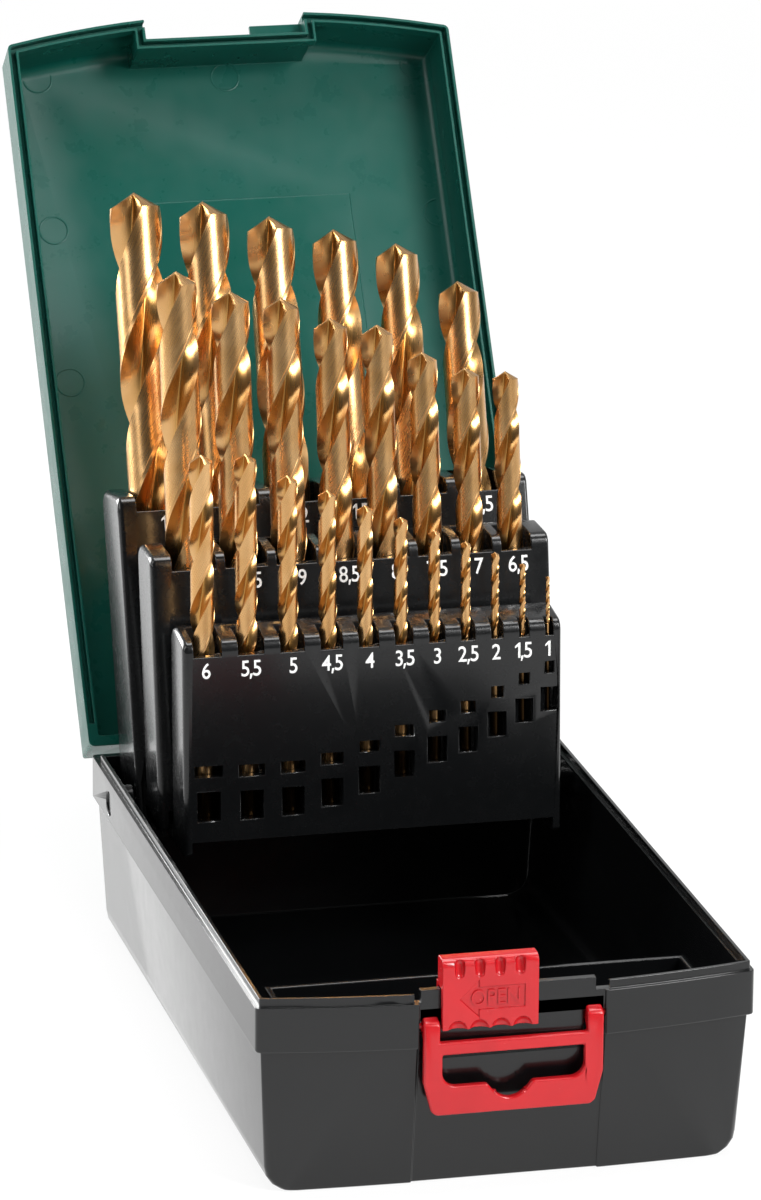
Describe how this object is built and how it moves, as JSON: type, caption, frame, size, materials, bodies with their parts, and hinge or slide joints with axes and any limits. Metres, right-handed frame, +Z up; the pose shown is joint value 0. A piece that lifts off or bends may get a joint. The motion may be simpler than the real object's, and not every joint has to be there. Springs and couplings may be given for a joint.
{
  "type": "drill bit case",
  "caption": "Hinged plastic drill bit case with fold-up racks holding twist drills, a sliding latch and a hang tab.",
  "frame": {"origin": "centre of the base's underside", "axes": "+X to the right seen from the front, where the latch is, +Y to the back, where the lid is hinged, +Z up"},
  "size_m": [0.118, 0.3182, 0.2103],
  "materials": {
    "black_plastic": "satin black moulded plastic",
    "rack_plastic": "satin black moulded plastic",
    "green_plastic": "dark green moulded plastic, semi-gloss",
    "red_plastic": "signal red moulded plastic, semi-gloss",
    "gold_coated_steel": "bright gold titanium nitride coat on ground steel",
    "pin_steel": "drawn steel wire"
  },
  "bodies": {
    "case": {"case_base": "black_plastic", "lid_hinge_pin_left": "pin_steel", "lid_hinge_pin_right": "pin_steel", "rack_pivot_pin_left": "black_plastic", "rack_pivot_pin_right": "black_plastic"},
    "lid": {"lid": "green_plastic"},
    "front_rack": {"rack_front": "rack_plastic", "drill_bit_6": "gold_coated_steel", "drill_bit_5_5": "gold_coated_steel", "drill_bit_5": "gold_coated_steel", "drill_bit_4_5": "gold_coated_steel", "drill_bit_4": "gold_coated_steel", "drill_bit_3_5": "gold_coated_steel", "drill_bit_3": "gold_coated_steel", "drill_bit_2_5": "gold_coated_steel", "drill_bit_2": "gold_coated_steel", "drill_bit_1_5": "gold_coated_steel", "drill_bit_1": "gold_coated_steel"},
    "middle_rack": {"rack_middle": "rack_plastic", "drill_bit_10": "gold_coated_steel", "drill_bit_9_5": "gold_coated_steel", "drill_bit_9": "gold_coated_steel", "drill_bit_8_5": "gold_coated_steel", "drill_bit_8": "gold_coated_steel", "drill_bit_7_5": "gold_coated_steel", "drill_bit_7": "gold_coated_steel", "drill_bit_6_5": "gold_coated_steel"},
    "back_rack": {"rack_back": "rack_plastic", "drill_bit_13": "gold_coated_steel", "drill_bit_12_5": "gold_coated_steel", "drill_bit_12": "gold_coated_steel", "drill_bit_11_5": "gold_coated_steel", "drill_bit_11": "gold_coated_steel", "drill_bit_10_5": "gold_coated_steel"},
    "latch": {"latch_slider": "red_plastic"},
    "hang_tab": {"hang_tab": "red_plastic"}
  },
  "joints": [
    {"name": "lid_hinge", "type": "hinge", "parent": "case", "child": "lid", "pos_m": [0, 0.0962, 0.046], "axis": [1, 0, 0], "range_deg": [0, 123.2]},
    {"name": "front_rack_pivot", "type": "hinge", "parent": "case", "child": "front_rack", "pos_m": [0, 0.073, 0.04], "axis": [1, 0, 0], "range_deg": [0, 92.2]},
    {"name": "middle_rack_pivot", "type": "hinge", "parent": "case", "child": "middle_rack", "pos_m": [0, 0.073, 0.04], "axis": [1, 0, 0], "range_deg": [0, 99.3]},
    {"name": "back_rack_pivot", "type": "hinge", "parent": "case", "child": "back_rack", "pos_m": [0, 0.073, 0.04], "axis": [1, 0, 0], "range_deg": [0, 108]},
    {"name": "latch_slide", "type": "slide", "parent": "case", "child": "latch", "axis": [1, 0, 0], "range_m": [0, 0.0112]},
    {"name": "hang_tab_pivot", "type": "hinge", "parent": "case", "child": "hang_tab", "pos_m": [0, -0.098, 0.0404], "axis": [-1, 0, 0], "range_deg": [0, 90]}
  ],
  "couplings": [
    {"joint": "front_rack_pivot", "follows": "lid_hinge", "ratio": 0.74837},
    {"joint": "middle_rack_pivot", "follows": "lid_hinge", "ratio": 0.806},
    {"joint": "back_rack_pivot", "follows": "lid_hinge", "ratio": 0.87662}
  ]
}
